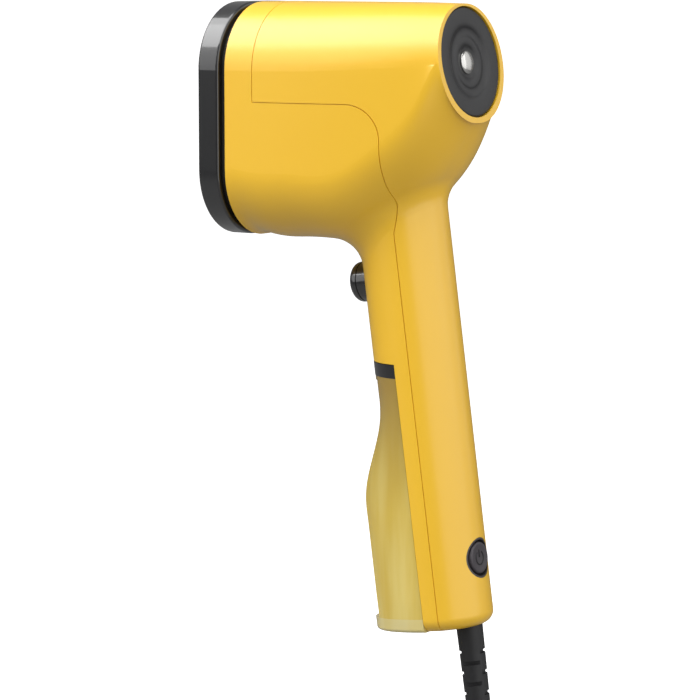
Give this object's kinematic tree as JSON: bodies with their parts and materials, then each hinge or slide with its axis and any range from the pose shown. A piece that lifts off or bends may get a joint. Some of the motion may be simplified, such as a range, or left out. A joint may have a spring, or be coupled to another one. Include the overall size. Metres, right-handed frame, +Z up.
{
  "type": "handheld garment steamer",
  "caption": "Handheld garment steamer with a level steam head on an upright grip, a clip-on water tank, a trigger, a power button and a corded base.",
  "frame": {"origin": "on the handle's axis at the middle of the grip", "axes": "+Z up, +X from the steam face towards the rear cap, Y across; the handle leans 7.8 degrees, its foot towards +X"},
  "size_m": [0.1473, 0.075, 0.5043],
  "materials": {
    "yellow_shell": "glossy moulded plastic",
    "black_gloss": "glossy black plastic",
    "dark_satin": "satin dark grey plastic",
    "dark_recess": "dull dark plastic",
    "amber_tank": "tinted translucent plastic",
    "button_grey": "satin grey plastic",
    "well_grey": "light grey plastic",
    "boot_rubber": "moulded flexible rubber",
    "cord_jacket": "flexible cable jacket",
    "plug_black": "moulded plug body",
    "bright_metal": "polished metal",
    "steam_plate": "brushed steel",
    "cast_alloy": "as cast aluminium",
    "heater_steel": "heat tinted steel",
    "silicone": "translucent silicone",
    "white_plastic": "white nylon",
    "copper": "enamelled copper winding",
    "brass": "bright brass",
    "steel_zinc": "zinc plated steel",
    "circuit_green": "glass fibre board",
    "component_dark": "black component body",
    "switch_body": "black switch body",
    "wire_red": "wire insulation",
    "seal_red": "silicone seal",
    "tie_black": "reusable strap"
  },
  "bodies": {
    "casing": {"front_shell": "yellow_shell", "rear_shell": "yellow_shell", "case_screws": "steel_zinc", "rear_cap": "dark_satin", "rear_cap_insert": "bright_metal", "head_bezel": "black_gloss", "head_collar": "dark_recess", "steam_plate": "steam_plate", "steam_chamber": "cast_alloy", "chamber_gasket": "seal_red", "chamber_cover": "cast_alloy", "cover_screws": "steel_zinc", "heating_element": "heater_steel", "thermostat": "component_dark", "thermal_fuse": "white_plastic", "fuse_clip": "steel_zinc", "heat_shield": "steel_zinc", "shield_posts": "steel_zinc", "pump_body": "white_plastic", "pump_spring": "steel_zinc", "pump_coil": "copper", "pump_frame": "steel_zinc", "pump_mounts": "silicone", "outlet_hose": "silicone", "inlet_hose": "silicone", "trigger_spring": "steel_zinc", "switch_bracket": "white_plastic", "trigger_switch": "switch_body", "tank_socket": "component_dark", "button_well": "well_grey", "power_switch": "switch_body", "button_spring": "steel_zinc", "control_board": "circuit_green", "board_screws": "steel_zinc", "board_components": "component_dark", "strain_relief": "boot_rubber", "inner_cord_end": "cord_jacket", "terminal_block": "white_plastic", "cord_clamp": "white_plastic", "clamp_screws": "steel_zinc", "wiring": "wire_red", "power_cord": "cord_jacket", "cord_tie": "tie_black", "cord_hank": "cord_jacket", "mains_plug": "plug_black", "plug_pins": "bright_metal"},
    "trigger": {"steam_trigger": "black_gloss"},
    "trigger_plunger": {"trigger_plunger": "seal_red"},
    "power_button": {"power_button": "button_grey"},
    "power_plunger": {"power_plunger": "white_plastic"},
    "tank": {"water_tank": "amber_tank", "tank_collar": "black_gloss", "tank_seal": "silicone", "tank_base": "amber_tank", "suction_tube": "silicone", "suction_filter": "white_plastic", "valve_spring": "steel_zinc"},
    "valve": {"valve_stem": "brass"},
    "stopper": {"filler_stopper": "boot_rubber"},
    "pump_piston": {"pump_piston": "steel_zinc"}
  },
  "joints": [
    {"name": "trigger_press", "type": "slide", "parent": "casing", "child": "trigger", "axis": [0.9907, 0, 0.1357], "range_m": [0, 0.003], "stiffness_N_per_m": 300, "springref_m": -0.002, "deforming": ["trigger_spring"]},
    {"name": "trigger_plunger_press", "type": "slide", "parent": "casing", "child": "trigger_plunger", "axis": [0.9907, 0, 0.1357], "range_m": [0, 0.003]},
    {"name": "power_press", "type": "slide", "parent": "casing", "child": "power_button", "axis": [-0.9907, 0, -0.1357], "range_m": [0, 0.0012], "stiffness_N_per_m": 500, "springref_m": -0.0008, "deforming": ["button_spring"]},
    {"name": "power_plunger_press", "type": "slide", "parent": "casing", "child": "power_plunger", "axis": [-0.9907, 0, -0.1357], "range_m": [0, 0.0012]},
    {"name": "tank_slide", "type": "slide", "parent": "casing", "child": "tank", "axis": [0.1357, 0, -0.9907], "range_m": [0, 0.114]},
    {"name": "stopper_pull", "type": "slide", "parent": "tank", "child": "stopper", "axis": [0.1357, 0, -0.9907], "range_m": [0, 0.012]},
    {"name": "valve_press", "type": "slide", "parent": "tank", "child": "valve", "axis": [0.1357, 0, -0.9907], "range_m": [0, 0.002], "stiffness_N_per_m": 150, "springref_m": -0.001, "deforming": ["valve_spring"]},
    {"name": "pump_stroke", "type": "slide", "parent": "casing", "child": "pump_piston", "axis": [1, 0, 0], "range_m": [0, 0.003], "stiffness_N_per_m": 400, "springref_m": -0.001, "deforming": ["pump_spring"]}
  ],
  "couplings": [
    {"joint": "trigger_plunger_press", "follows": "trigger_press", "ratio": 1},
    {"joint": "power_plunger_press", "follows": "power_press", "ratio": 1}
  ]
}
